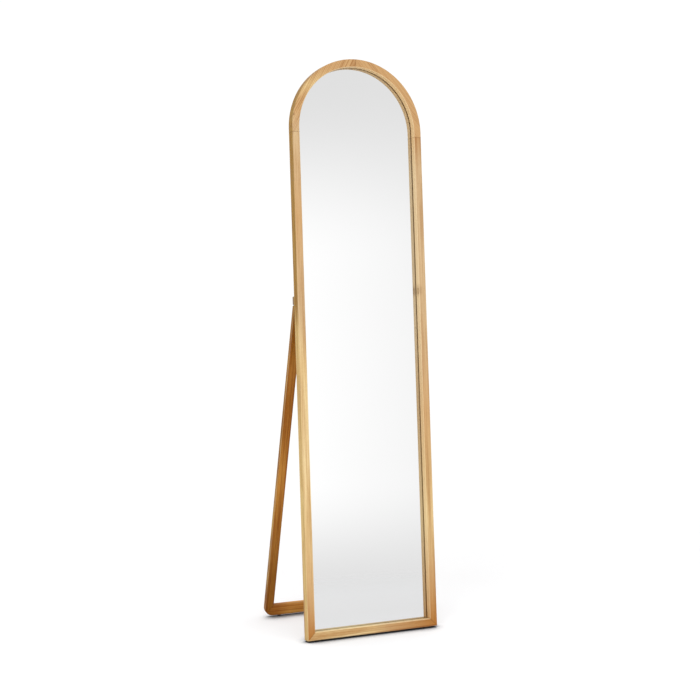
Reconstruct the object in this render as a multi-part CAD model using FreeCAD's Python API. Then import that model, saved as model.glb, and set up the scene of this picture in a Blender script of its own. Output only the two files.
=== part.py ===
"""Arched floor mirror that leans back on a U-shaped easel stand, hinged to the back of its frame.

Millimetres, +Z up, X across, the mirror faces -Y. The origin is on the floor, under the middle
of the whole object as it stands open. The frame is built upright, with its front face on Y = 0,
and then leaned back. The stand is built hanging straight down from its hinge pins, and then
swung out.
"""
import FreeCAD, Part
import math
import os

from FreeCAD import Vector

# The frame
HEIGHT = 1600.0
WIDTH = 400.0
FACE = 22.0              # width of the frame's front face
LIP = 17.0               # depth from the front face to the glass
GLASS_T = 4.0
BOARD_T = 4.0
DEPTH = LIP + GLASS_T + BOARD_T
GLASS_REBATE = 5.0       # how far the glass rebate is cut back from the sight edge
BOARD_REBATE = 14.0      # and the wider rebate for the backing board
FIT_GAP = 1.0            # play around the glass and the board
EDGE_R = 2.0             # rounding of the frame's front edges
BACK_EDGE_R = 1.2
ARCH_TAIL = 12.0         # straight end of each arch half, below the spring line

# The lean and the stand
LEAN = 4.25              # degrees that the frame leans back from upright
OPEN_ANGLE = 18.0        # degrees between the frame and the stand when it is open
STAND_W = 398.0
LEG_W = 27.0
BAR_H = 34.0
STAND_T = 12.0
STAND_EDGE_R = 2.0
STAND_CORNER_R = 28.0
STAND_CLEAR = 0.8        # room between the folded stand and the frame's back
PAD_T = 3.0              # thinnest part of each rubber pad
FRAME_PAD_R = 8.0
FRAME_PAD_X = 168.0
STAND_PAD_R = 4.6
STAND_PAD_X = 150.0

# The hinges
PIN_HEIGHT = 914.0       # up the frame's back, from its bottom
PIN_OFFSET = 3.0         # behind the frame's back
PIN_R = 1.25
PIN_PLAY = 0.05          # radial play of the pin in the stand's knuckles
KNUCKLE_R = 2.4
KNUCKLE_GAP = 0.3
HINGE_W = 23.0
KNUCKLES = 3
LEAF_T = 1.2
LEAF_REACH = 8.5         # from the pin to the leaf's free edge
LEAF_GAP = 0.15          # from each leaf to the plane midway between the two
BLOCK_H = 22.0
REBATE_R = 2.9           # half size of the square rebate around each knuckle barrel

# Dowels and screws
DOWEL_R = 3.0
DOWEL_L = 36.0
DOWEL_INSETS = (7.0, 15.0)
MITRE_DOWEL_R = 2.5
MITRE_DOWEL_L = 20.0
STAND_DOWEL_L = 24.0
BOARD_SCREW = {"length": 14.0, "shank_r": 1.5, "head_r": 3.0, "head_h": 1.6}
BLOCK_SCREW = {"length": 29.0, "shank_r": 1.9, "head_r": 3.8, "head_h": 2.4}
LEAF_SCREW = {"length": 12.0, "shank_r": 1.2, "head_r": 2.3, "head_h": 1.3}
SCREW_INSET = 13.0       # from the frame's outer edge to the board and block screws
SIDE_SCREWS = 6
SIDE_SCREW_ENDS = (110.0, 1330.0)
BOTTOM_SCREW_X = (-110.0, 0.0, 110.0)
ARCH_SCREW_ANGLES = (22.5, 67.5)
BLOCK_SCREW_RISES = (7.0, 17.0)
LEAF_SCREW_SPREAD = 7.0
LEAF_SCREW_SETBACK = 5.6

# Worked out from the above
HALF = WIDTH / 2
SPRING = HEIGHT - HALF                     # height of the arch's centre
ARCH_JOINT = SPRING - ARCH_TAIL
PIN_Y = DEPTH + PIN_OFFSET
LEAF_FACE = LEAF_GAP + LEAF_T              # from the pin's plane to the wood on each side
STAND_FRONT = STAND_CLEAR - PIN_OFFSET     # the stand's front face, from the pin
STAND_SWING = OPEN_ANGLE - LEAN            # degrees from the stand to upright
HINGE_X = STAND_W / 2 - LEG_W / 2

X_AXIS = Vector(1, 0, 0)
Y_AXIS = Vector(0, 1, 0)
Z_AXIS = Vector(0, 0, 1)


def rounded_face(corners, place):
    """A flat face through corners of (a, b, rounding radius), put in space by place(a, b)."""
    points = [Vector(a, b, 0) for a, b, _ in corners]
    stops = []
    for i, (_, _, radius) in enumerate(corners):
        back = (points[i - 1] - points[i]).normalize()
        ahead = (points[(i + 1) % len(points)] - points[i]).normalize()
        half_turn = back.getAngle(ahead) / 2
        reach = radius / math.tan(half_turn)
        middle = (back + ahead).normalize() * (radius / math.sin(half_turn) - radius)
        stops.append([points[i] + back * reach, points[i] + middle, points[i] + ahead * reach])
    edges = []
    for i, (_, _, radius) in enumerate(corners):
        start, middle, end = [place(p.x, p.y) for p in stops[i]]
        if radius:
            edges.append(Part.Arc(start, middle, end).toShape())
        following = stops[(i + 1) % len(stops)][0]
        edges.append(Part.makeLine(end, place(following.x, following.y)))
    return Part.Face(Part.Wire(edges))


def box(low, high):
    """An upright box between two corners."""
    size = Vector(*high) - Vector(*low)
    return Part.makeBox(size.x, size.y, size.z, Vector(*low))


def rod(radius, start, end):
    """A round rod between two points."""
    return Part.makeCylinder(radius, (end - start).Length, start, end - start)


def centred_rod(radius, length, centre, direction):
    """A round rod of one length, centred on a point."""
    half = Vector(direction).normalize() * (length / 2)
    return rod(radius, centre - half, centre + half)


def mirrored(shape):
    """The right-hand twin of a left-hand shape."""
    return shape.mirror(Vector(0, 0, 0), X_AXIS)


def joined(shapes):
    """One solid from shapes that touch or overlap."""
    return shapes[0].fuse(shapes[1:]).removeSplitter()


def screw(point, direction, size, recessed=True):
    """A countersunk wood screw: its flat head is at the point, and it runs along the direction."""
    tip_h = 2.5 * size["shank_r"]
    shank_h = size["length"] - size["head_h"] - tip_h
    down = Vector(0, 0, -1)
    head = Part.makeCone(size["head_r"], size["shank_r"], size["head_h"], Vector(0, 0, 0), down)
    shank = Part.makeCylinder(size["shank_r"], shank_h, Vector(0, 0, -size["head_h"]), down)
    tip_top = Vector(0, 0, -size["head_h"] - shank_h)
    tip = Part.makeCone(size["shank_r"], size["shank_r"] / 8, tip_h, tip_top, down)
    blank = joined([head, shank, tip])
    if recessed:
        blank = blank.cut(cross_recess(size["head_r"]))
    blank.Placement = FreeCAD.Placement(point, FreeCAD.Rotation(down, direction))
    return blank


def cross_recess(head_r):
    """The cross-shaped drive recess of a screw's head."""
    arm, half_width, depth = 0.55 * head_r, 0.12 * head_r, 0.35 * head_r
    one = box((-arm, -half_width, -depth), (arm, half_width, 1.0))
    other = box((-half_width, -arm, -depth), (half_width, arm, 1.0))
    return one.fuse(other)


# ---- The frame, upright -----------------------------------------------------------------------

def frame_section(place):
    """The frame's section: a from the outer edge inwards, b from the front face backwards."""
    glass_back = LIP + GLASS_T
    corners = [
        (0, 0, EDGE_R),
        (FACE, 0, EDGE_R),
        (FACE, LIP, 0),
        (FACE - GLASS_REBATE, LIP, 0),
        (FACE - GLASS_REBATE, glass_back, 0),
        (FACE - BOARD_REBATE, glass_back, 0),
        (FACE - BOARD_REBATE, DEPTH, 0),
        (0, DEPTH, BACK_EDGE_R),
    ]
    return rounded_face(corners, place)


def mitre_wedge(side):
    """Everything above (side 1) or below (side -1) the left bottom corner's mitre plane."""
    size = 3 * FACE
    corner = Vector(-HALF, -1, 0)
    far = corner + Vector(size, 0, size)
    off = corner + (Vector(0, 0, size) if side > 0 else Vector(size, 0, -size))
    outline = Part.makePolygon([corner, far, off, corner])
    return Part.Face(outline).extrude(Y_AXIS * (DEPTH + 2))


def left_stile():
    section = frame_section(lambda a, b: Vector(a - HALF, b, 0))
    return section.extrude(Z_AXIS * ARCH_JOINT).cut(mitre_wedge(-1))


def bottom_rail():
    section = frame_section(lambda a, b: Vector(-HALF, b, a))
    rail = section.extrude(X_AXIS * WIDTH)
    return rail.cut([mitre_wedge(1), mirrored(mitre_wedge(1))])


def left_arch():
    """Half of the arch, with its straight tail."""
    tail_section = frame_section(lambda a, b: Vector(a - HALF, b, ARCH_JOINT))
    bend_section = frame_section(lambda a, b: Vector(a - HALF, b, SPRING))
    bend = bend_section.revolve(Vector(0, 0, SPRING), Y_AXIS, 90)
    return joined([tail_section.extrude(Z_AXIS * ARCH_TAIL), bend])


def arched_plate(inset, front, thickness):
    """A plate that follows the frame's outline, a fixed distance inside its outer edge."""
    half = HALF - inset
    side = Vector(half, front, 0)
    foot, shoulder = side + Z_AXIS * inset, side + Z_AXIS * SPRING
    left_foot, left_shoulder = mirrored_point(foot), mirrored_point(shoulder)
    top = Vector(0, front, SPRING + half)
    edges = [
        Part.makeLine(left_foot, foot),
        Part.makeLine(foot, shoulder),
        Part.Arc(shoulder, top, left_shoulder).toShape(),
        Part.makeLine(left_shoulder, left_foot),
    ]
    return Part.Face(Part.Wire(edges)).extrude(Y_AXIS * thickness)


def mirrored_point(point):
    return Vector(-point.x, point.y, point.z)


def spring_dowels():
    """Two dowels across the left joint between stile and arch."""
    return [
        centred_rod(DOWEL_R, DOWEL_L, Vector(inset - HALF, LIP / 2, ARCH_JOINT), Z_AXIS)
        for inset in DOWEL_INSETS
    ]


def apex_dowels():
    """Two dowels across the joint at the top of the arch."""
    return [
        centred_rod(DOWEL_R, DOWEL_L, Vector(0, LIP / 2, HEIGHT - inset), X_AXIS)
        for inset in DOWEL_INSETS
    ]


def mitre_dowel():
    """One dowel square across the left mitre."""
    centre = Vector(FACE / 2 - HALF, LIP / 2, FACE / 2)
    return centred_rod(MITRE_DOWEL_R, MITRE_DOWEL_L, centre, Vector(1, 0, -1))


def board_screw_points():
    """Where the backing board's screws go in, on the board's back."""
    low, high = SIDE_SCREW_ENDS
    side_x = HALF - SCREW_INSET
    points = []
    for i in range(SIDE_SCREWS):
        height = low + (high - low) * i / (SIDE_SCREWS - 1)
        points += [Vector(-side_x, DEPTH, height), Vector(side_x, DEPTH, height)]
    points += [Vector(x, DEPTH, SCREW_INSET) for x in BOTTOM_SCREW_X]
    for angle in ARCH_SCREW_ANGLES:
        x, rise = side_x * math.cos(math.radians(angle)), side_x * math.sin(math.radians(angle))
        points += [Vector(-x, DEPTH, SPRING + rise), Vector(x, DEPTH, SPRING + rise)]
    return points


# ---- The left hinge and its block, upright, in the frame's place --------------------------------

def barrel_rebate():
    """The square groove that the hinge barrel lies in, between the block and the leg."""
    half_x = LEG_W / 2 + 1
    return box(
        (-HINGE_X - half_x, DEPTH - 1, PIN_HEIGHT - REBATE_R),
        (-HINGE_X + half_x, PIN_Y + REBATE_R, PIN_HEIGHT + REBATE_R),
    )


def hinge_block():
    """The short block on the frame's back that the hinge hangs from."""
    bottom = PIN_HEIGHT + LEAF_FACE
    back = DEPTH + STAND_T
    corners = [
        (DEPTH, bottom, 0),
        (back, bottom, 0),
        (back, bottom + BLOCK_H, STAND_EDGE_R),
        (DEPTH, bottom + BLOCK_H, 0),
    ]
    left = -STAND_W / 2
    side = rounded_face(corners, lambda y, z: Vector(left, y, z))
    return side.extrude(X_AXIS * LEG_W).cut(barrel_rebate())


def knuckle_spans():
    """The start and end in X of each knuckle of the left hinge."""
    pitch = (HINGE_W + KNUCKLE_GAP) / KNUCKLES
    start = -HINGE_X - HINGE_W / 2
    return [(start + i * pitch, start + (i + 1) * pitch - KNUCKLE_GAP) for i in range(KNUCKLES)]


def hinge_leaf(side, own_knuckles, bore_r):
    """A leaf of the left hinge, above (side 1) or below (side -1) the pin, with its knuckles."""
    spans = knuckle_spans()
    heights = sorted([PIN_HEIGHT + side * LEAF_GAP, PIN_HEIGHT + side * LEAF_FACE])
    first, last = spans[0][0], spans[-1][1]
    clear = KNUCKLE_R + KNUCKLE_GAP
    pieces = [box((first, PIN_Y + clear, heights[0]), (last, PIN_Y + LEAF_REACH, heights[1]))]
    for low, high in [spans[i] for i in own_knuckles]:
        pieces.append(box((low, PIN_Y, heights[0]), (high, PIN_Y + clear, heights[1])))
        ends = [Vector(x, PIN_Y, PIN_HEIGHT) for x in (low, high)]
        pieces.append(rod(KNUCKLE_R, *ends))
    bore = rod(bore_r, Vector(first - 1, PIN_Y, PIN_HEIGHT), Vector(last + 1, PIN_Y, PIN_HEIGHT))
    return joined(pieces).cut(bore)


def hinge_pin():
    ends = [Vector(x, PIN_Y, PIN_HEIGHT) for x in (knuckle_spans()[0][0], knuckle_spans()[-1][1])]
    return rod(PIN_R, *ends)


def leaf_screws(side, recessed=True):
    """The two screws that hold one leaf, upwards (side 1) or downwards (side -1)."""
    height = PIN_HEIGHT + side * LEAF_GAP
    return [
        screw(Vector(x - HINGE_X, PIN_Y + LEAF_SCREW_SETBACK, height), Z_AXIS * side,
              LEAF_SCREW, recessed)
        for x in (-LEAF_SCREW_SPREAD, LEAF_SCREW_SPREAD)
    ]


def block_screws(recessed=True):
    """The two screws that hold the left block to the stile."""
    return [
        screw(Vector(SCREW_INSET - HALF, DEPTH + STAND_T, PIN_HEIGHT + rise), -Y_AXIS,
              BLOCK_SCREW, recessed)
        for rise in BLOCK_SCREW_RISES
    ]


# ---- The stand, hanging straight down from a pin axis along X through the origin ---------------

def stand_length():
    """From the pin to the stand's bottom edge, so that its pads meet the floor."""
    lean, swing = math.radians(LEAN), math.radians(STAND_SWING)
    pin_drop = PIN_HEIGHT * math.cos(lean) - PIN_OFFSET * math.sin(lean)
    return (pin_drop + STAND_FRONT * math.sin(swing)) / math.cos(swing)


def u_shape():
    """The whole stand in one piece: two legs and a bar, with rounded outer corners."""
    length, half = stand_length(), STAND_W / 2
    top = 2 * REBATE_R
    corners = [
        (-half, top, 0),
        (-half, -length, STAND_CORNER_R),
        (half, -length, STAND_CORNER_R),
        (half, top, 0),
        (half - LEG_W, top, 0),
        (half - LEG_W, BAR_H - length, 0),
        (LEG_W - half, BAR_H - length, 0),
        (LEG_W - half, top, 0),
    ]
    face = rounded_face(corners, lambda x, z: Vector(x, STAND_FRONT, z))
    solid = face.extrude(Y_AXIS * STAND_T)
    flat_edges = [e for e in solid.Edges if e.BoundBox.YLength < 1e-6]
    long_edges = [e for e in flat_edges if e.BoundBox.ZMin < top - 1e-6]
    return solid.makeFillet(STAND_EDGE_R, long_edges)


def bar_zone():
    """The part of the U that is the crossbar: everything below the two mitre planes."""
    length, half = stand_length(), STAND_W / 2
    slope = BAR_H / LEG_W
    spread = LEG_W + 20.0
    inner = Vector(LEG_W - half, STAND_FRONT - 1, BAR_H - length)
    outer = inner - Vector(spread, 0, spread * slope)
    outline = Part.makePolygon([inner, outer, mirrored_point(outer), mirrored_point(inner), inner])
    return Part.Face(outline).extrude(Y_AXIS * (STAND_T + 2))


def leg_bevel():
    """Everything above the leg's bevelled top end, which meets the block when the stand is open."""
    above = box((-HALF, -3 * STAND_T, -LEAF_FACE), (HALF, 3 * STAND_T, 3 * STAND_T))
    rebate = box((-HALF, -3 * STAND_T, -REBATE_R), (HALF, REBATE_R, 0))
    tool = above.fuse(rebate)
    tool.rotate(Vector(0, 0, 0), X_AXIS, -OPEN_ANGLE)
    return tool


def stand_dowel():
    """One dowel square across the stand's left mitre."""
    length, half = stand_length(), STAND_W / 2
    corner_inset = STAND_CORNER_R * (1 - math.sqrt(0.5))
    middle_x = (LEG_W + corner_inset) / 2 - half
    middle_z = (BAR_H + corner_inset) / 2 - length
    centre = Vector(middle_x, STAND_FRONT + STAND_T / 2, middle_z)
    return centred_rod(DOWEL_R, STAND_DOWEL_L, centre, Vector(BAR_H, 0, -LEG_W))


# ---- Putting it together ------------------------------------------------------------------------

def lean_back(shape):
    """From the upright frame's place to the leaning frame's, over the floor."""
    moved = shape.copy()
    moved.rotate(Vector(0, DEPTH, 0), X_AXIS, -LEAN)
    moved.translate(Z_AXIS * PAD_T)
    return moved


def pin_position():
    """A point of the leaning frame's pin axis, at X = 0."""
    return lean_back(Part.Vertex(0, PIN_Y, PIN_HEIGHT)).Point


def swing_out(shape):
    """From the hanging stand's place to the open stand's."""
    moved = shape.copy()
    moved.rotate(Vector(0, 0, 0), X_AXIS, STAND_SWING)
    moved.translate(pin_position())
    return moved


def floor_pad(radius, x, y, carried):
    """A rubber pad: flat on the floor, and cut to fit the underside of what it carries."""
    blank = Part.makeCylinder(radius, 2 * PAD_T + radius / 2, Vector(x, y, 0), Z_AXIS)
    trimmed = blank.cut(carried)
    return min(trimmed.Solids, key=lambda solid: solid.BoundBox.ZMin)


def drilled(shape, fasteners):
    """A shape with a snug hole for each fastener that reaches it."""
    near = [f for f in fasteners if f.BoundBox.intersect(shape.BoundBox)]
    return shape.cut(near) if near else shape


def both_sides(name, shapes):
    """Left and right nodes from a left-hand shape or list of shapes."""
    shapes = shapes if isinstance(shapes, list) else [shapes]
    return {
        "left_" + name: Part.Compound(shapes),
        "right_" + name: Part.Compound([mirrored(s) for s in shapes]),
    }


def frame_nodes():
    """The frame, glass, board, hinge blocks and fixed hinge halves, all upright."""
    left_fasteners = spring_dowels() + [mitre_dowel()] + block_screws(recessed=False)
    board_blanks = [screw(p, -Y_AXIS, BOARD_SCREW, recessed=False) for p in board_screw_points()]
    fasteners = left_fasteners + [mirrored(f) for f in left_fasteners] + apex_dowels() + board_blanks
    board = arched_plate(FACE - BOARD_REBATE + FIT_GAP, LIP + GLASS_T, BOARD_T)
    block_fasteners = block_screws(recessed=False) + leaf_screws(1, recessed=False)
    upper_leaf = hinge_leaf(1, range(0, KNUCKLES, 2), PIN_R)
    nodes = {
        "bottom_rail": drilled(bottom_rail(), fasteners),
        "apex_dowels": Part.Compound(apex_dowels()),
        "mirror_glass": arched_plate(FACE - GLASS_REBATE + FIT_GAP, LIP, GLASS_T),
        "backing_board": drilled(board, fasteners),
        "backing_screws": Part.Compound(
            [screw(p, -Y_AXIS, BOARD_SCREW) for p in board_screw_points()]),
    }
    nodes.update(both_sides("stile", drilled(left_stile(), fasteners)))
    nodes.update(both_sides("arch", drilled(left_arch(), fasteners)))
    nodes.update(both_sides("spring_dowels", spring_dowels()))
    nodes.update(both_sides("mitre_dowel", mitre_dowel()))
    nodes.update(both_sides("hinge_block", drilled(hinge_block(), block_fasteners)))
    nodes.update(both_sides("block_screws", block_screws()))
    nodes.update(both_sides("hinge_upper_leaf", drilled(upper_leaf, block_fasteners)))
    nodes.update(both_sides("hinge_upper_screws", leaf_screws(1)))
    nodes.update(both_sides("hinge_pin", hinge_pin()))
    return nodes


def moving_hinge_nodes():
    """The hinge halves that swing with the stand, upright in the open stand's place."""
    lower_leaf = hinge_leaf(-1, range(1, KNUCKLES, 2), PIN_R + PIN_PLAY)
    nodes = both_sides("hinge_lower_leaf", drilled(lower_leaf, leaf_screws(-1, recessed=False)))
    nodes.update(both_sides("hinge_lower_screws", leaf_screws(-1)))
    return nodes


def stand_nodes():
    """The legs, the crossbar and their dowels, in the open stand's place."""
    whole = u_shape().cut(leg_bevel())
    dowels = [stand_dowel(), mirrored(stand_dowel())]
    legs = sorted(whole.cut(bar_zone()).Solids, key=lambda solid: solid.CenterOfMass.x)
    leaf_blanks = [lean_back(s) for s in leaf_screws(-1, recessed=False)]
    leg_fasteners = leaf_blanks + [mirrored(s) for s in leaf_blanks]
    nodes = both_sides("stand_dowel", stand_dowel())
    nodes["crossbar"] = whole.common(bar_zone()).cut(dowels)
    nodes["left_leg"], nodes["right_leg"] = [leg.cut(dowels) for leg in legs]
    nodes = {name: swing_out(shape) for name, shape in nodes.items()}
    for name in ("left_leg", "right_leg"):
        nodes[name] = drilled(nodes[name], leg_fasteners)
    return nodes


def pad_nodes(nodes):
    """The four pads under the frame and the crossbar."""
    rail, bar = nodes["bottom_rail"], nodes["crossbar"]
    swing = math.radians(STAND_SWING)
    bar_middle = STAND_FRONT + STAND_T / 2
    bar_y = pin_position().y + stand_length() * math.sin(swing) + bar_middle * math.cos(swing)
    pads = both_sides("frame_pad", floor_pad(FRAME_PAD_R, -FRAME_PAD_X, DEPTH / 2, rail))
    pads.update(both_sides("stand_pad", floor_pad(STAND_PAD_R, -STAND_PAD_X, bar_y, bar)))
    return pads


def build():
    """Every node in its final place, and the point of the hinge axis at X = 0."""
    nodes = {name: lean_back(s) for name, s in {**frame_nodes(), **moving_hinge_nodes()}.items()}
    nodes.update(stand_nodes())
    nodes.update(pad_nodes(nodes))
    extent = Part.Compound(list(nodes.values())).optimalBoundingBox()
    to_centre = Y_AXIS * (-(extent.YMin + extent.YMax) / 2)
    for shape in nodes.values():
        shape.translate(to_centre)
    return nodes, pin_position() + to_centre


def main():
    nodes, pin = build()
    os.makedirs("parts", exist_ok=True)
    for name, shape in nodes.items():
        if not shape.isValid():
            raise RuntimeError(name + " is not a valid shape")
        shape.exportStep(os.path.join("parts", name + ".step"))
    extent = Part.Compound(list(nodes.values())).optimalBoundingBox()
    print("nodes", len(nodes))
    print("extent", [round(v, 2) for v in (extent.XLength, extent.YLength, extent.ZLength)])
    print("hinge axis at", [round(v, 3) for v in pin])


main()
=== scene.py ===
"""Looks of the arched floor mirror: wood, mirror pane, board, steel and rubber, studio and camera.

Metres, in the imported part's frame: +Z up, the mirror faces -Y and leans back.
"""
import bmesh
import bpy
import math

from collections.abc import Callable
from dataclasses import dataclass
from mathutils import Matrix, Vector


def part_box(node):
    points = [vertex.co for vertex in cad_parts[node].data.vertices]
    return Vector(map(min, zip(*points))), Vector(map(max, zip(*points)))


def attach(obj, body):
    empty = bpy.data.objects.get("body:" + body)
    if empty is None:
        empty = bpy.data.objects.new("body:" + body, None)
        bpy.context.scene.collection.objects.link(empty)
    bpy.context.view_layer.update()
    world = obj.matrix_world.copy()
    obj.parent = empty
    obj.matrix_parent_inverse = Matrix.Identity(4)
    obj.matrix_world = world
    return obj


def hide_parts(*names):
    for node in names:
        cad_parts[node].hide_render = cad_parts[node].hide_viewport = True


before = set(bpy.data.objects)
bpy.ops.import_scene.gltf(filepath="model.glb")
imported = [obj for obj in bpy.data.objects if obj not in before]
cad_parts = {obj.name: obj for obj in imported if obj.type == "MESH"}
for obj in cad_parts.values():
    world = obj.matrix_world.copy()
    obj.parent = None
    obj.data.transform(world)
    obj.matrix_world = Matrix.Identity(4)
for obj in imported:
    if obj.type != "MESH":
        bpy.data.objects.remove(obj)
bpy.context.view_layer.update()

# The frame, as it stands upright with its front face on 0
WIDTH = 0.400
HEIGHT = 1.600
FACE = 0.022
LIP = 0.017                # from the front face to the rebate behind it
REBATE = FACE - 0.005      # from the outer edge to the rebate's wall
DEPTH = 0.025
HALF = WIDTH / 2
SPRING = HEIGHT - HALF
ARCH_JOINT = SPRING - 0.012
LEAN = math.radians(4.25)
PIN_HEIGHT = 0.914
PIN_OFFSET = 0.003         # behind the frame's back

# The stand, hanging from its hinge pins
STAND_HALF = 0.199
STAND_T = 0.012
STAND_FRONT = 0.0022       # the stand's front face, ahead of the pins
STAND_LENGTH = 0.9376
STAND_SWING = math.radians(13.75)
LEG_W = 0.027
BAR_H = 0.034

# The mirror pane
PANE_INSET = 0.018         # the pane's edge, from the frame's outer edge
PANE_FRONT = 0.0203        # where the silver is seen to lie, through the glass
PANE_BACK = 0.021
PANE_BEVEL = 0.0003


# ---- Local frames -------------------------------------------------------------------------------

class Place:
    """Axes that lean with a body: across, back through the wood, and up, from an origin."""

    def __init__(self, origin, up):
        self.across = Vector((1, 0, 0))
        self.up = up
        self.back = up.cross(self.across)
        self.origin = origin

    def point(self, across, back, up):
        return self.origin + self.across * across + self.back * back + self.up * up


def pin_axis():
    """The middle of the line through both hinge pins."""
    low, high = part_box("left_hinge_pin")
    middle = (Vector(low) + Vector(high)) / 2
    middle.x = 0
    return middle


def frame_place():
    """Up from the frame's front bottom edge."""
    lean = Place(pin_axis(), Vector((0, math.sin(LEAN), math.cos(LEAN))))
    return Place(lean.point(0, -DEPTH - PIN_OFFSET, -PIN_HEIGHT), lean.up)


def stand_place():
    """Up from the front bottom edge of the open stand."""
    swing = Place(pin_axis(), Vector((0, -math.sin(STAND_SWING), math.cos(STAND_SWING))))
    return Place(swing.point(0, -STAND_FRONT, -STAND_LENGTH), swing.up)


ON_FRAME = frame_place()
ON_STAND = stand_place()


# ---- Shader nodes -------------------------------------------------------------------------------

def linear(hex_colour):
    """An RGBA linear colour from an sRGB hex string."""
    channels = [int(hex_colour[i:i + 2], 16) / 255 for i in (0, 2, 4)]
    return [c / 12.92 if c <= 0.04045 else ((c + 0.055) / 1.055) ** 2.4 for c in channels] + [1.0]


class Shader:
    """A node tree, with one short method for each kind of node that is used."""

    def __init__(self, tree):
        self.tree = tree

    def put(self, socket, value):
        """Links a socket to an input, or sets a constant or a hex colour on it."""
        if isinstance(value, bpy.types.NodeSocket):
            self.tree.links.new(value, socket)
        else:
            socket.default_value = linear(value) if isinstance(value, str) else value

    def node(self, kind, inputs, **settings):
        made = self.tree.nodes.new(kind)
        for key, value in settings.items():
            setattr(made, key, value)
        for key, value in inputs.items():
            self.put(made.inputs[key], value)
        return made

    def maths(self, operation, a, b=0.0, c=0.0):
        return self.node("ShaderNodeMath", {0: a, 1: b, 2: c}, operation=operation).outputs[0]

    def add(self, a, b):
        return self.maths("ADD", a, b)

    def subtract(self, a, b):
        return self.maths("SUBTRACT", a, b)

    def times(self, a, b):
        return self.maths("MULTIPLY", a, b)

    def absolute(self, a):
        return self.maths("ABSOLUTE", a)

    def dot(self, vector, direction):
        made = self.node("ShaderNodeVectorMath", {0: vector, 1: tuple(direction)},
                         operation="DOT_PRODUCT")
        return made.outputs["Value"]

    def combine(self, x, y, z):
        return self.node("ShaderNodeCombineXYZ", {"X": x, "Y": y, "Z": z}).outputs[0]

    def length(self, x, y):
        vector = self.combine(x, y, 0.0)
        return self.node("ShaderNodeVectorMath", {0: vector}, operation="LENGTH").outputs["Value"]

    def object_point(self):
        return self.node("ShaderNodeTexCoord", {}).outputs["Object"]

    def local(self, place):
        """Sockets for (across, back, up) in a Place."""
        point = self.object_point()
        return [self.subtract(self.dot(point, axis), place.origin.dot(axis))
                for axis in (place.across, place.back, place.up)]

    def noise(self, vector, scale, detail=2.0, roughness=0.5, distortion=0.0):
        made = self.node("ShaderNodeTexNoise", {
            "Vector": vector, "Scale": scale, "Detail": detail,
            "Roughness": roughness, "Distortion": distortion})
        return made.outputs["Fac"]

    def spread(self, value, low, high, to_low=0.0, to_high=1.0):
        """A smooth step from one range to another, clamped; low may be above high."""
        if low > high:
            low, high, to_low, to_high = high, low, to_high, to_low
        made = self.node("ShaderNodeMapRange", {
            "Value": value, "From Min": low, "From Max": high,
            "To Min": to_low, "To Max": to_high}, interpolation_type="SMOOTHSTEP")
        return made.outputs[0]

    def ramp(self, factor, stops):
        """A colour ramp with (position, hex colour) stops."""
        made = self.node("ShaderNodeValToRGB", {"Fac": factor})
        elements = made.color_ramp.elements
        while len(elements) < len(stops):
            elements.new(1.0)
        for element, (position, colour) in zip(elements, stops):
            element.position = position
            element.color = linear(colour)
        return made.outputs["Color"]

    def mix(self, factor, a, b, blend="MIX"):
        made = self.node("ShaderNodeMix", {}, data_type="RGBA", blend_type=blend)
        self.put(made.inputs["Factor"], factor)
        first, second = [s for s in made.inputs if s.type == "RGBA"]
        self.put(first, a)
        self.put(second, b)
        return [s for s in made.outputs if s.type == "RGBA"][0]

    def stain(self, amount, colour, tint):
        """A colour multiplied by a tint, by an amount from 0 to 1."""
        return self.mix(amount, colour, tint, "MULTIPLY")

    def bump(self, height, strength, distance):
        return self.node("ShaderNodeBump", {
            "Height": height, "Strength": strength, "Distance": distance}).outputs[0]


class Finish(Shader):
    """A material with one Principled shader."""

    def __init__(self, name):
        self.material = bpy.data.materials.new(name)
        self.material.use_nodes = True
        super().__init__(self.material.node_tree)

    def surface(self, **inputs):
        """Feeds the Principled shader; underscores in the names stand for spaces."""
        shader = self.tree.nodes["Principled BSDF"]
        for key, value in inputs.items():
            self.put(shader.inputs[key.replace("_", " ")], value)
        return self.material


# ---- Wood ---------------------------------------------------------------------------------------

GRAIN_TINTS = ((0.0, "ffffff"), (0.35, "fbf9f4"), (1.0, "bb9369"))    # from no grain to dark grain
PORE = "a57a4c"
# Painted light: the pale tone that the edge beside the mirror is lifted to, for the light the mirror
# throws on it
SIGHT_EDGE_LIGHT = "f4dca8"
# Bare wood in the rebate, paled further as painted light in the shaded groove behind the lip
BARE_REBATE_LIGHT = "fff0d2"
KNOT = "94703c"
GLUE_LINE = "7a5a38"
WORN_EDGE = "fff6e6"

FIBRE_STRETCH = 0.018      # how much fibres and streaks are drawn out along the grain
FIGURE_STRETCH = 0.10      # and the slower figure
FIBRES = 2600.0            # noise scales, per metre across the grain
PORES = 5200.0
STREAKS = 220.0
FIGURE = 30.0
SHEEN = 60.0
WEAR = 90.0
RING_DRIFTS = ((14.0, 0.034, 2.0), (150.0, 0.0022, 3.0))    # scale, reach and detail of each
RING_BULGE = 0.006         # how far the rings bend round a knot
BULGE_FADING = 0.8         # how fast they straighten out again, per knot radius
EDGE_FADE = (0.0016, 0.0006)    # from a face's edge: all face, all side
WEAR_FADE = (0.0022, 0.0005)    # from a face's edge: untouched, worn
REBATE_FADE = (REBATE - 0.002, REBATE - 0.001)    # from the outer edge: lacquered, bare
LIP_FADE = (LIP, LIP + 0.0004)  # and from the front
GLUE_FADE = (0.0009, 0.0002)    # from a joint: clear wood, glue
KNOT_STRETCH = 0.65        # a knot is taller than it is wide, by one over this
KNOT_RAGGED = (160.0, 0.6)      # scale and reach of its ragged outline
KNOT_PATCHES = 230.0       # scale of the patches in its rim
KNOT_RINGS = 17.0          # radians of ring per knot radius
SIGHT_GRAIN = 0.35         # how much of the grain shows on the sight edge
LATE_RISE = (0.30, 0.92)   # parts of a ring: the late wood deepens
LATE_END = (1.0, 0.92)     # and stops at the next ring

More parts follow.
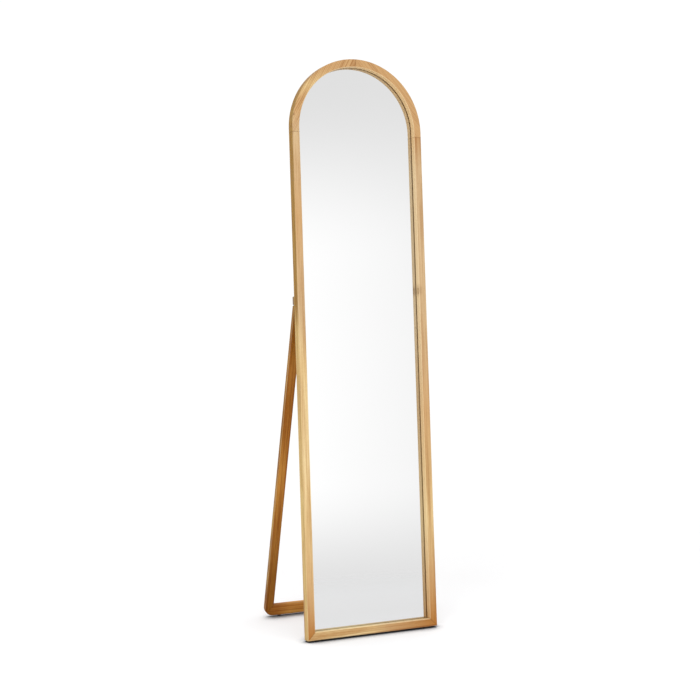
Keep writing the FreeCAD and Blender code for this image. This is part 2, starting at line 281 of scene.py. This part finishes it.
# How much each layer darkens the wood, or wears it pale
LATE_SHADE = 0.30
STREAK_SHADE = 0.42
FIGURE_SHADE = 0.22
FIBRE_SHADE = 0.16
PORE_SHADE = 0.5
GLUE_SHADE = 0.55
WEAR_SHADE = 0.14

# And how much it stands out of the surface, or sinks into it
LATE_HEIGHT = 0.3
FIBRE_HEIGHT = 0.5
PORE_DEPTH = 0.6
GLUE_DEPTH = 1.5

# The lacquer's roughness, from well filled to thin, and how pores and wear change it
SATIN = (0.38, 0.50)
PORE_DULLING = 0.15
WEAR_POLISH = 0.08

# Metres that each piece is shifted through the grain, so that no two look alike
GRAIN_SHIFTS = {
    "left_stile": 0.0, "right_stile": 0.37, "left_arch": 0.74, "right_arch": 1.11,
    "bottom_rail": 1.48, "left_leg": 1.9, "right_leg": 2.6, "crossbar": 3.1,
    "hinge_block": 4.2, "dowel": 5.3}


# For a shader and a spot on a piece, a section gives the distance from the piece's outer edge,
# with the piece's width, and a joint gives the distance from its glue line.

def stile_section(s, across, up):
    return s.subtract(HALF, s.absolute(across)), FACE


def rail_section(s, across, up):
    return up, FACE


def arch_section(s, across, up):
    return s.subtract(HALF, s.length(across, s.subtract(up, SPRING))), FACE


def leg_section(s, across, up):
    return s.subtract(STAND_HALF, s.absolute(across)), LEG_W


def bar_section(s, across, up):
    return up, BAR_H


def apex_joint(s, across, up):
    return s.absolute(across)


def spring_joint(s, across, up):
    return s.absolute(s.subtract(up, ARCH_JOINT))


def frame_mitre(s, across, up):
    inward = s.subtract(HALF, s.absolute(across))
    return s.times(s.absolute(s.subtract(inward, up)), math.sqrt(0.5))


def stand_mitre(s, across, up):
    inward = s.times(s.subtract(STAND_HALF, s.absolute(across)), BAR_H)
    gap = s.absolute(s.subtract(inward, s.times(up, LEG_W)))
    return s.times(gap, 1 / math.hypot(LEG_W, BAR_H))


@dataclass
class Timber:
    """One piece of wood: where it lies, how its grain runs and how its colour changes."""
    place: Place
    section: Callable              # distance from the outer edge, and width
    depth: float
    tones: tuple | str             # along tone_axis, or one for the whole piece
    edge_tones: tuple | str = ()   # and down the outer side, where they differ
    grain: float = 90.0            # degrees from across
    tone_axis: str = "up"
    joints: tuple = ()
    knots: tuple = ()              # for each, its centre (across, back, up) and its radius
    ring: float = 0.0026           # width of a growth ring
    pith: tuple = (0.05, 0.03)     # how far away the tree's heart was, to the side and in front
    contrast: float = 1.0          # of the grain
    # How strongly painted light pales the edge beside the mirror
    sight_light: float = 0.36       # how pale the edge beside the mirror is


class Wood(Finish):
    """Satin-lacquered solid wood with rings, fibres, streaks, pores, knots and glue lines."""

    def __init__(self, name, timber):
        super().__init__(name + "_wood")
        self.timber = timber
        self.across, self.back, self.up = self.local(timber.place)
        grain = math.radians(timber.grain)
        cos, sin = math.cos(grain), math.sin(grain)
        along = self.add(self.times(self.across, cos), self.times(self.up, sin))
        cross = self.subtract(self.times(self.across, sin), self.times(self.up, cos))
        self.cross = self.add(cross, GRAIN_SHIFTS[name])
        self.fast = self.combine(self.cross, self.back, self.times(along, FIBRE_STRETCH))
        self.slow = self.combine(self.cross, self.back, self.times(along, FIGURE_STRETCH))
        self.distance, self.width = timber.section(self, self.across, self.up)
        self.faces_mirror = self.width == FACE
        self.outer_side = self.spread(self.distance, *EDGE_FADE)
        self.sight_side = self.spread(self.subtract(FACE, self.distance), *EDGE_FADE)
        self.rebate = self.times(self.spread(self.distance, *REBATE_FADE),
                                 self.spread(self.back, *LIP_FADE))

    def sway(self, scale, reach, detail):
        """A drift to either side, slow along the grain."""
        return self.times(self.subtract(self.noise(self.slow, scale, detail), 0.5), reach)

    def near_edge(self, distance, width):
        """1 along both edges of a span from 0 to width, 0 away from them."""
        inward = self.maths("MINIMUM", distance, self.subtract(width, distance))
        return self.spread(inward, *WEAR_FADE)

    def from_knots(self):
        """Distance to the nearest knot, in that knot's radii, or None."""
        nearest = None
        for centre, radius in self.timber.knots:
            across, back, up = [self.subtract(way, at) for way, at in
                                zip((self.across, self.back, self.up), centre)]
            away = self.length(self.length(across, back), self.times(up, KNOT_STRETCH))
            away = self.maths("DIVIDE", away, radius)
            nearest = away if nearest is None else self.maths("MINIMUM", nearest, away)
        if nearest is not None:
            scale, reach = KNOT_RAGGED
            ragged = self.subtract(self.noise(self.object_point(), scale, 1.0), 0.5)
            nearest = self.add(nearest, self.times(ragged, reach))
        return nearest

    def late_wood(self, from_knots):
        """Dark late wood at the end of each ring, 0 to 1; the rings bend round a knot."""
        pith_cross, pith_back = self.timber.pith
        radius = self.length(self.add(self.cross, pith_cross), self.add(self.back, pith_back))
        for scale, reach, detail in RING_DRIFTS:
            radius = self.add(radius, self.sway(scale, reach, detail))
        if from_knots is not None:
            fading = self.maths("POWER", math.e, self.times(from_knots, -BULGE_FADING))
            radius = self.add(radius, self.times(fading, RING_BULGE))
        phase = self.maths("FRACT", self.maths("DIVIDE", radius, self.timber.ring))
        return self.times(self.spread(phase, *LATE_RISE), self.spread(phase, *LATE_END))

    def tone_along(self, tones):
        """The colour before the grain, painted shade included where a table carries it: one tone, or
        a slow change along the piece.
        """
        if isinstance(tones, str):
            return tones
        place = self.up if self.timber.tone_axis == "up" else self.across
        first, last = tones[0][0], tones[-1][0]
        factor = self.maths("DIVIDE", self.subtract(place, first), last - first)
        stops = [((at - first) / (last - first), tone) for at, tone in tones]
        return self.ramp(factor, stops)

    def tone(self):
        """The face's colour, the outer edge's where it differs, the sight edge paled with painted
        light, and the bare rebate paled further with painted light.
        """
        tone = self.tone_along(self.timber.tones)
        if self.timber.edge_tones:
            tone = self.mix(self.outer_side, tone, self.tone_along(self.timber.edge_tones))
        if self.faces_mirror:
            # Painted light on the edge beside the mirror
            tone = self.mix(self.times(self.sight_side, self.timber.sight_light), tone, SIGHT_EDGE_LIGHT)
            # The bare rebate, paled further as painted light in the shaded groove
            tone = self.mix(self.rebate, tone, BARE_REBATE_LIGHT)
        return tone

    def grain_shade(self, late, fibres):
        """A tint that darkens the tone along rings, streaks, figure and fibres."""
        streaks = self.noise(self.fast, STREAKS, 3.0, 0.55)
        figure = self.noise(self.slow, FIGURE)
        grain = self.times(late, LATE_SHADE)
        grain = self.add(grain, self.spread(streaks, 0.30, 0.72, 0.0, STREAK_SHADE))
        grain = self.add(grain, self.spread(figure, 0.35, 0.68, 0.0, FIGURE_SHADE))
        grain = self.add(grain, self.spread(fibres, 0.25, 0.75, 0.0, FIBRE_SHADE))
        grain = self.times(grain, self.timber.contrast)
        if self.faces_mirror:
            grain = self.times(grain, self.spread(self.sight_side, 0.0, 1.0, 1.0, SIGHT_GRAIN))
        return self.ramp(grain, GRAIN_TINTS)

    def knot_shade(self, from_knots):
        """A knot's ragged dark rim, the rings of its heart and the shade round it."""
        rim = self.times(self.spread(from_knots, 0.6, 0.95), self.spread(from_knots, 1.45, 1.0))
        patches = self.noise(self.object_point(), KNOT_PATCHES, 1.0)
        rim = self.times(rim, self.spread(patches, 0.35, 0.65, 0.6, 1.0))
        rings = self.maths("SINE", self.times(from_knots, KNOT_RINGS))
        heart = self.times(self.maths("MULTIPLY_ADD", rings, 0.08, 0.44),
                           self.spread(from_knots, 1.1, 0.8))
        halo = self.spread(from_knots, 3.4, 1.0, 0.0, 0.34)
        return self.maths("MAXIMUM", self.maths("MAXIMUM", rim, heart), halo)

    def worn_edges(self):
        """1 where two faces meet and the lacquer has rubbed thin, in patches."""
        edge = self.times(self.near_edge(self.distance, self.width),
                          self.near_edge(self.back, self.timber.depth))
        return self.times(edge, self.spread(self.noise(self.slow, WEAR, 3.0), 0.35, 0.65, 0.3, 1.0))

    def finished(self):
        """The material: tone, grain, pores, knots, wear and glue lines, one over the other."""
        from_knots = self.from_knots()
        late = self.late_wood(from_knots)
        fibres = self.noise(self.fast, FIBRES, 3.0, 0.6)
        pores = self.spread(self.noise(self.fast, PORES, 1.0), 0.64, 0.72)
        worn = self.worn_edges()

        colour = self.stain(1.0, self.tone(), self.grain_shade(late, fibres))
        colour = self.stain(self.times(pores, PORE_SHADE), colour, PORE)
        height = self.add(self.times(fibres, FIBRE_HEIGHT), self.times(late, LATE_HEIGHT))
        height = self.subtract(height, self.times(pores, PORE_DEPTH))
        if from_knots is not None:
            colour = self.stain(self.knot_shade(from_knots), colour, KNOT)
        colour = self.mix(self.times(worn, WEAR_SHADE), colour, WORN_EDGE)
        for joint in self.timber.joints:
            line = self.spread(joint(self, self.across, self.up), *GLUE_FADE)
            colour = self.stain(self.times(line, GLUE_SHADE), colour, GLUE_LINE)
            height = self.subtract(height, self.times(line, GLUE_DEPTH))

        rough = self.spread(self.noise(self.slow, SHEEN, 3.0), 0.3, 0.7, *SATIN)
        rough = self.add(rough, self.times(pores, PORE_DULLING))
        rough = self.subtract(rough, self.times(worn, WEAR_POLISH))
        return self.surface(
            Base_Color=colour, Roughness=rough, Normal=self.bump(height, 0.35, 0.00025),
            Specular_IOR_Level=0.10, Coat_Weight=0.03, Coat_Roughness=0.30)


# The lacquered wood's colours, before the grain darkens them; those of the stand and SHADED carry
# painted shade
CREAM = "f0dcac"
STRAW = "e0c490"
SAND = "d4b890"
HONEY = "c8a070"
TOFFEE = "c08840"
AMBER = "b07430"
KHAKI = "c8ac70"
OLIVE = "a07c34"
BRASS = "b48c38"
GOLD = "d8a050"
UMBER = "905c18"
# SHADED is painted shade, for the hinge block's outer side
SHADED = "7c5c2c"

# For each piece whose colour changes, places along it and the colour there
LEFT_STILE_TONES = (
    (0.0, AMBER), (0.1, HONEY), (0.3, STRAW), (0.55, CREAM), (0.75, STRAW), (0.9, SAND),
    (1.15, HONEY), (1.39, SAND))
LEFT_EDGE_TONES = ((0.0, KHAKI), (0.84, KHAKI), (0.92, OLIVE))
RIGHT_STILE_TONES = (
    (0.0, AMBER), (0.15, HONEY), (0.3, STRAW), (0.6, HONEY), (0.9, SAND), (1.3, SAND), (1.39, HONEY))
LEFT_ARCH_TONES = ((1.39, SAND), (1.45, HONEY), (1.48, HONEY), (1.52, STRAW), (1.57, HONEY))
ARCH_EDGE_TONES = ((1.5, OLIVE), (1.6, HONEY))
RAIL_TONES = ((-0.2, STRAW), (-0.08, CREAM), (0.0, STRAW), (0.05, HONEY), (0.2, AMBER))
# The stand's tables are darker and deeper than its wood: painted shade, for the stand lying in the
# frame's shade
LEG_TONES_AND_SHADE = ((0.12, UMBER), (0.4, GOLD), (0.65, AMBER), (0.75, TOFFEE), (0.94, BRASS))
LEG_EDGE_TONES_AND_SHADE = (
    (0.0, UMBER), (0.15, OLIVE), (0.35, BRASS), (0.55, OLIVE), (0.75, BRASS), (0.94, OLIVE))
CROSSBAR_TONES_AND_SHADE = (
    (-0.2, UMBER), (-0.16, AMBER), (-0.12, GOLD), (0.12, GOLD), (0.16, AMBER), (0.2, UMBER))


def paint(names, material):
    """Puts one material on CAD nodes."""
    for name in names:
        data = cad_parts[name].data
        data.materials.clear()
        data.materials.append(material)


def named(*endings):
    """The CAD nodes whose names end so."""
    return [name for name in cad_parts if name.endswith(endings)]


def paint_frame():
    stile_joints = (frame_mitre, spring_joint)
    arch_joints = (apex_joint, spring_joint)
    pieces = {
        "left_stile": Timber(ON_FRAME, stile_section, DEPTH, LEFT_STILE_TONES, LEFT_EDGE_TONES,
                             joints=stile_joints, pith=(0.36, 0.05)),
        "right_stile": Timber(ON_FRAME, stile_section, DEPTH, RIGHT_STILE_TONES,
                              joints=stile_joints, pith=(0.10, 0.06),
                              knots=(((0.1780, 0.0075, 0.950), 0.0046),), sight_light=0.28),
        "left_arch": Timber(ON_FRAME, arch_section, DEPTH, LEFT_ARCH_TONES, ARCH_EDGE_TONES,
                            grain=60.0, joints=arch_joints, ring=0.0040,
                            knots=(((-0.1940, 0.0, 1.436), 0.0011),)),
        "right_arch": Timber(ON_FRAME, arch_section, DEPTH, HONEY,
                             grain=130.0, joints=arch_joints, ring=0.0040, pith=(-1.0, 0.03),
                             contrast=0.75),
        "bottom_rail": Timber(ON_FRAME, rail_section, DEPTH, RAIL_TONES, grain=0.0,
                              tone_axis="across", joints=(frame_mitre,), pith=(0.08, 0.04),
                              contrast=1.3, sight_light=0.6),
    }
    for name, timber in pieces.items():
        paint([name], Wood(name, timber).finished())


def paint_stand():
    leg = Timber(ON_STAND, leg_section, STAND_T, LEG_TONES_AND_SHADE, LEG_EDGE_TONES_AND_SHADE,
                 joints=(stand_mitre,), pith=(0.25, 0.04), contrast=1.4)
    bar = Timber(ON_STAND, bar_section, STAND_T, CROSSBAR_TONES_AND_SHADE, grain=0.0,
                 tone_axis="across", joints=(stand_mitre,), pith=(0.07, 0.03), contrast=1.3)
    for name, timber in (("left_leg", leg), ("right_leg", leg), ("crossbar", bar)):
        paint([name], Wood(name, timber).finished())


def paint_the_rest():
    """Blocks, dowels, hinges, screws, pads and the board; the mirror gets its own pane."""
    # The block's outer side is darkened to SHADED: painted shade
    block = Timber(ON_FRAME, leg_section, DEPTH, TOFFEE, SHADED)
    paint(named("hinge_block"), Wood("hinge_block", block).finished())
    dowel = Timber(ON_FRAME, stile_section, DEPTH, STRAW, ring=0.0018)
    paint(named("dowel", "dowels"), Wood("dowel", dowel).finished())
    paint(named("screws", "leaf", "pin"), plated_steel())
    paint(named("pad"), rubber())
    paint(["backing_board"], hardboard())


# ---- Other materials ----------------------------------------------------------------------------

def mirror_silver():
    """A clean mirror with a trace of smudges and dust."""
    s = Finish("mirror_silver")
    place = s.object_point()
    smudge = s.spread(s.noise(place, 14.0, 4.0, 0.6), 0.52, 0.75, 0.0, 0.012)
    dust = s.spread(s.noise(place, 900.0), 0.70, 0.80, 0.0, 0.05)
    tint = s.mix(s.noise(place, 3.0), "dcdcdc", "dedede")
    return s.surface(
        Base_Color=tint, Metallic=1.0, Roughness=s.add(smudge, dust),
        Normal=s.bump(s.noise(place, 2.5, 1.0), 0.05, 0.0006))


MESH_PITCH = 0.0024        # of the press mesh on the hardboard's face
BOARD_TONES = ((0.30, "6f5034"), (0.50, "8a6743"), (0.70, "a37f58"))


def hardboard():
    """Pressed brown fibreboard, with the mesh of its press on the face."""
    s = Finish("hardboard")
    place = s.object_point()
    fibre = s.noise(place, 420.0, 5.0, 0.72, 1.2)
    fleck = s.spread(s.noise(place, 1100.0, 3.0, 0.6), 0.58, 0.70)
    cloud = s.noise(place, 5.0, 3.0, 0.5)
    tone = s.maths("MULTIPLY_ADD", fibre, 0.85, s.times(cloud, 0.15))
    colour = s.ramp(tone, BOARD_TONES)
    colour = s.mix(s.times(fleck, 0.45), colour, "b8996f")
    across, _, up = s.local(ON_FRAME)
    mesh = s.times(*[s.maths("SINE", s.times(way, math.tau / MESH_PITCH)) for way in (across, up)])
    height = s.maths("MULTIPLY_ADD", mesh, 0.3, fibre)
    rough = s.spread(fibre, 0.3, 0.7, 0.62, 0.82)
    return s.surface(Base_Color=colour, Roughness=rough, Normal=s.bump(height, 0.4, 0.0002))


def plated_steel():
    """Zinc-plated steel, brushed along X."""
    s = Finish("plated_steel")
    place = s.object_point()
    brushed = s.combine(s.times(s.dot(place, (1, 0, 0)), 0.04),
                        s.dot(place, (0, 1, 0)), s.dot(place, (0, 0, 1)))
    lines = s.noise(brushed, 9000.0)
    colour = s.mix(s.noise(place, 260.0, 3.0), "746e62", "9d9586")
    rough = s.maths("MULTIPLY_ADD", lines, 0.18, 0.26)
    return s.surface(Base_Color=colour, Metallic=1.0, Roughness=rough,
                     Normal=s.bump(lines, 0.15, 0.00005))


def rubber():
    """Black rubber with a fine moulded grit."""
    s = Finish("rubber")
    grit = s.noise(s.object_point(), 2200.0, 3.0, 0.6)
    colour = s.mix(grit, "171513", "2b2724")
    return s.surface(Base_Color=colour, Roughness=s.spread(grit, 0.3, 0.7, 0.70, 0.88),
                     Normal=s.bump(grit, 0.4, 0.0002))


# ---- The mirror pane ----------------------------------------------------------------------------

def arch_outline(inset, steps=96):
    """Points (across, up) round the frame's outline, a fixed distance inside its outer edge."""
    half = HALF - inset
    turns = [math.pi * i / steps for i in range(steps + 1)]
    arch = [(half * math.cos(t), SPRING + half * math.sin(t)) for t in turns]
    return [(-half, inset), (half, inset)] + arch


def mirror_pane():
    """The pane, with its silvered face where it is seen to be, and a ground bevel round it."""
    layers = ((PANE_INSET, PANE_BACK), (PANE_INSET, PANE_FRONT + PANE_BEVEL),
              (PANE_INSET + PANE_BEVEL, PANE_FRONT))
    mesh = bmesh.new()
    rings = [[mesh.verts.new(ON_FRAME.point(across, back, up)) for across, up in arch_outline(inset)]
             for inset, back in layers]
    for lower, upper in zip(rings, rings[1:]):
        for i in range(len(lower)):
            j = (i + 1) % len(lower)
            mesh.faces.new((lower[i], lower[j], upper[j], upper[i]))
    mesh.faces.new(rings[-1])
    mesh.faces.new(rings[0][::-1])
    bmesh.ops.recalc_face_normals(mesh, faces=mesh.faces)
    data = bpy.data.meshes.new("mirror_pane")
    mesh.to_mesh(data)
    mesh.free()
    data.materials.append(mirror_silver())
    pane = bpy.data.objects.new("mirror_pane", data)
    bpy.context.scene.collection.objects.link(pane)
    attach(pane, "mirror_frame")
    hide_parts("mirror_glass")


# ---- Studio -------------------------------------------------------------------------------------

CAMERA_PLACE = Vector((-1.7351, -3.6090, 1.0018))
CAMERA_TURN = math.radians(25.733)
CAMERA_DIP = math.radians(2.3036)
CAMERA_LENS = 72.30
CAMERA_SHIFT_Y = -0.029

FLOOR_RADIUS = 2.4
FLOOR_FADE = 1.2           # from here outwards the floor fades into the surround
FLOOR_GLOW = 0.050         # lifts the floor to the surround's white
NEAR_GLOW = 0.115          # and more round the object, which takes light from the floor
NEAR_FADE = (0.30, 0.75)
COOL_GLOW = "e6f1ff"       # against the warm light that the wood throws on the floor
CONTACT_REACH = 0.075      # how far the soft contact shadows spread over the floor
FLOOR_TONES = ((0.42, "38393b"), (0.70, "cacdd0"), (0.86, "f8f8f8"))    # by how open a spot is
SURROUND = 1.035           # the white surround's brightness
WINDOW = 1.468             # and that of the soft box in front of the mirror
WINDOW_RISE = (-5.4, -0.6, 8.0, 15.6)       # degrees: fades in, full, full, fades out
WINDOW_TURN = (-70.0, -40.0, 18.0, 40.0)    # degrees from straight ahead of the mirror
KEY_PLACE = Vector((-2.6, -2.4, 1.6))
KEY_TARGET = Vector((0, 0, 0.8))
KEY_SIZE = 1.6
KEY_POWER = 26.0           # watts


def add_camera():
    """A long lens in front of the mirror, off to its left and a little above its middle."""
    data = bpy.data.cameras.new("camera")
    data.lens = CAMERA_LENS
    data.sensor_width = 36.0
    data.shift_y = CAMERA_SHIFT_Y
    data.clip_end = 100.0
    camera = bpy.data.objects.new("camera", data)
    camera.location = CAMERA_PLACE
    camera.rotation_euler = (math.pi / 2 - CAMERA_DIP, 0.0, -CAMERA_TURN)
    bpy.context.scene.collection.objects.link(camera)
    bpy.context.scene.camera = camera


def add_floor():
    """A pale round floor with soft contact shadows, fading into the surround."""
    bpy.ops.mesh.primitive_circle_add(vertices=128, radius=FLOOR_RADIUS, fill_type="NGON")
    floor = bpy.context.object
    floor.name = "studio_floor"
    s = Finish("studio_floor")
    open_sky = s.node("ShaderNodeAmbientOcclusion", {"Distance": CONTACT_REACH}, samples=12)
    colour = s.ramp(open_sky.outputs["AO"], FLOOR_TONES)
    away = s.length(*[s.dot(s.object_point(), axis) for axis in ((1, 0, 0), (0, 1, 0))])
    floor.data.materials.append(s.surface(
        Base_Color=colour, Emission_Color=s.stain(1.0, colour, COOL_GLOW),
        Emission_Strength=s.spread(away, *NEAR_FADE, NEAR_GLOW, FLOOR_GLOW),
        Alpha=s.spread(away, FLOOR_RADIUS, FLOOR_FADE),
        Roughness=0.9, Specular_IOR_Level=0.1))


def add_key_light():
    """A square soft box on the camera's left."""
    data = bpy.data.lights.new("key_softbox", "AREA")
    data.shape = "SQUARE"
    data.size = KEY_SIZE
    data.energy = KEY_POWER
    light = bpy.data.objects.new("key_softbox", data)
    light.location = KEY_PLACE
    light.rotation_euler = (KEY_TARGET - KEY_PLACE).to_track_quat("-Z", "Y").to_euler()
    bpy.context.scene.collection.objects.link(light)


def fade(s, value, stops):
    """1 between the middle two stops, fading to 0 at the outer two."""
    return s.times(s.spread(value, stops[0], stops[1]), s.spread(value, stops[3], stops[2]))


def add_surround():
    """A white surround with one wide soft box low in front of the mirror."""
    world = bpy.data.worlds.new("studio")
    world.use_nodes = True
    bpy.context.scene.world = world
    s = Shader(world.node_tree)
    direction = s.node("ShaderNodeTexCoord", {}).outputs["Generated"]
    x, y, z = [s.dot(direction, axis) for axis in ((1, 0, 0), (0, 1, 0), (0, 0, 1))]
    rise = s.times(s.maths("ARCSINE", z), math.degrees(1))
    turn = s.times(s.maths("ARCTAN2", x, s.times(y, -1.0)), math.degrees(1))
    window = s.times(fade(s, rise, WINDOW_RISE), fade(s, turn, WINDOW_TURN))
    glow = s.maths("MULTIPLY_ADD", window, WINDOW - SURROUND, SURROUND)
    background = world.node_tree.nodes["Background"]
    background.inputs["Color"].default_value = (1.0, 1.0, 1.0, 1.0)
    s.put(background.inputs["Strength"], glow)


add_camera()
paint_frame()
paint_stand()
paint_the_rest()
mirror_pane()
add_floor()
add_surround()
add_key_light()
bpy.context.scene.view_settings.view_transform = "Standard"
